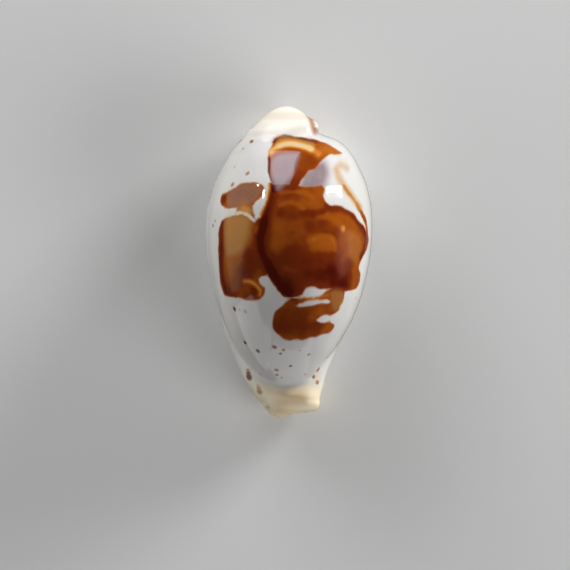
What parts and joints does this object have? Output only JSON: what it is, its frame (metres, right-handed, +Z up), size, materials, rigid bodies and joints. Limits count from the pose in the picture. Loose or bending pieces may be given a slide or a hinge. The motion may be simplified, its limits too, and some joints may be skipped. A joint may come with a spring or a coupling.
{
  "type": "cowrie shell",
  "caption": "Egg-shaped glossy cowrie shell with a blotched domed back, beaked ends and a narrow toothed slit along its flattened base.",
  "frame": {"origin": "on the resting plane, under the middle of the shell's bounding box", "axes": "+Z up through the back, +Y along the shell to the spire end, +X to the inner-lip side, -X to the outer lip"},
  "size_m": [0.016, 0.03, 0.013],
  "materials": {
    "shell": "glossy natural enamel, bluish white with dark brown blotches and cream ends"
  },
  "bodies": {
    "root": {"shell": "shell"}
  },
  "joints": []
}
